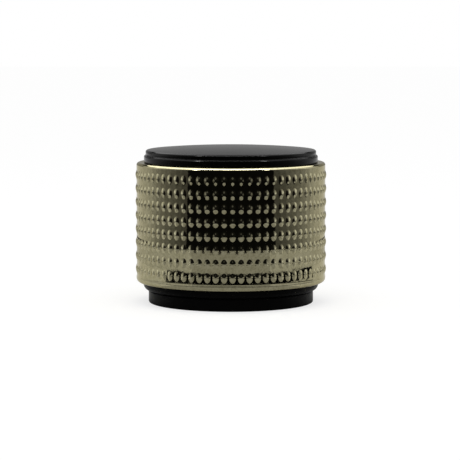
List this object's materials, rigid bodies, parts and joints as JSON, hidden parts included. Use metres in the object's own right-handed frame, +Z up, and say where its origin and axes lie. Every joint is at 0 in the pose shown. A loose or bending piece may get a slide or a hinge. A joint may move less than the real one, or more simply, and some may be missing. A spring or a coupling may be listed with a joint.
{
  "type": "hand grinder",
  "caption": "Round twist grinder: black magnetic lid, toothed grinding chamber, hobnail gold glass sleeve round the collection chamber, screen and screw-on catcher dish.",
  "frame": {"origin": "centre of the flat underside, on the turning axis", "axes": "+Z up along the turning axis; -Y is the side seen in the picture, +X to its right"},
  "size_m": [0.0636, 0.0636, 0.0522],
  "materials": {
    "gold_glass": "pressed hobnail glass with an opaque pale gold metallised coat",
    "black_anodised": "black anodised, satin, turned",
    "gloss_black": "black anodised, polished",
    "silicone": "moulded silicone",
    "steel": "rolled stainless steel",
    "steel_mesh": "fine woven stainless mesh",
    "spring_steel": "stamped spring steel",
    "tooth_steel": "ground stainless steel",
    "nickel": "nickel plated magnet",
    "screw_steel": "socket screws",
    "black_acetal": "moulded black acetal, slippery"
  },
  "bodies": {
    "jar": {"glass_sleeve": "gold_glass", "collection_chamber": "black_anodised", "lower_gasket": "silicone", "screen_frame": "steel", "screen_mesh": "steel_mesh", "screen_snap_ring": "spring_steel"},
    "chamber_seal": {"upper_gasket": "silicone"},
    "grinding_chamber": {"grinding_chamber": "black_anodised", "chamber_tooth_plate": "black_anodised", "chamber_teeth": "tooth_steel", "chamber_magnet": "nickel", "chamber_plate_screws": "screw_steel"},
    "lid_bearing": {"friction_ring": "black_acetal"},
    "lid": {"lid_cap": "gloss_black", "lid_tooth_plate": "black_anodised", "lid_teeth": "tooth_steel", "lid_magnet": "nickel", "lid_plate_screws": "screw_steel"},
    "dish_seal": {"catcher_seal": "silicone"},
    "dish": {"catcher_dish": "black_anodised"}
  },
  "joints": [
    {"name": "chamber_rise", "type": "slide", "parent": "jar", "child": "chamber_seal", "axis": [0, 0, 1], "range_m": [0, 0.0045]},
    {"name": "chamber_unscrew", "type": "hinge", "parent": "chamber_seal", "child": "grinding_chamber", "pos_m": [0, 0, 0.03405], "axis": [0, 0, 1], "range_deg": [0, 1080]},
    {"name": "lid_twist", "type": "hinge", "parent": "grinding_chamber", "child": "lid_bearing", "pos_m": [0, 0, 0.04915], "axis": [0, 0, 1], "continuous": true},
    {"name": "lid_lift", "type": "slide", "parent": "lid_bearing", "child": "lid", "axis": [0, 0, 1], "range_m": [0, 0.02]},
    {"name": "dish_drop", "type": "slide", "parent": "jar", "child": "dish_seal", "axis": [0, 0, -1], "range_m": [0, 0.00375]},
    {"name": "dish_unscrew", "type": "hinge", "parent": "dish_seal", "child": "dish", "pos_m": [0, 0, 0.0069], "axis": [0, 0, -1], "range_deg": [0, 900]}
  ],
  "couplings": [
    {"joint": "chamber_rise", "follows": "chamber_unscrew", "m_per_rad": 0.00023873},
    {"joint": "dish_drop", "follows": "dish_unscrew", "m_per_rad": 0.00023873}
  ]
}
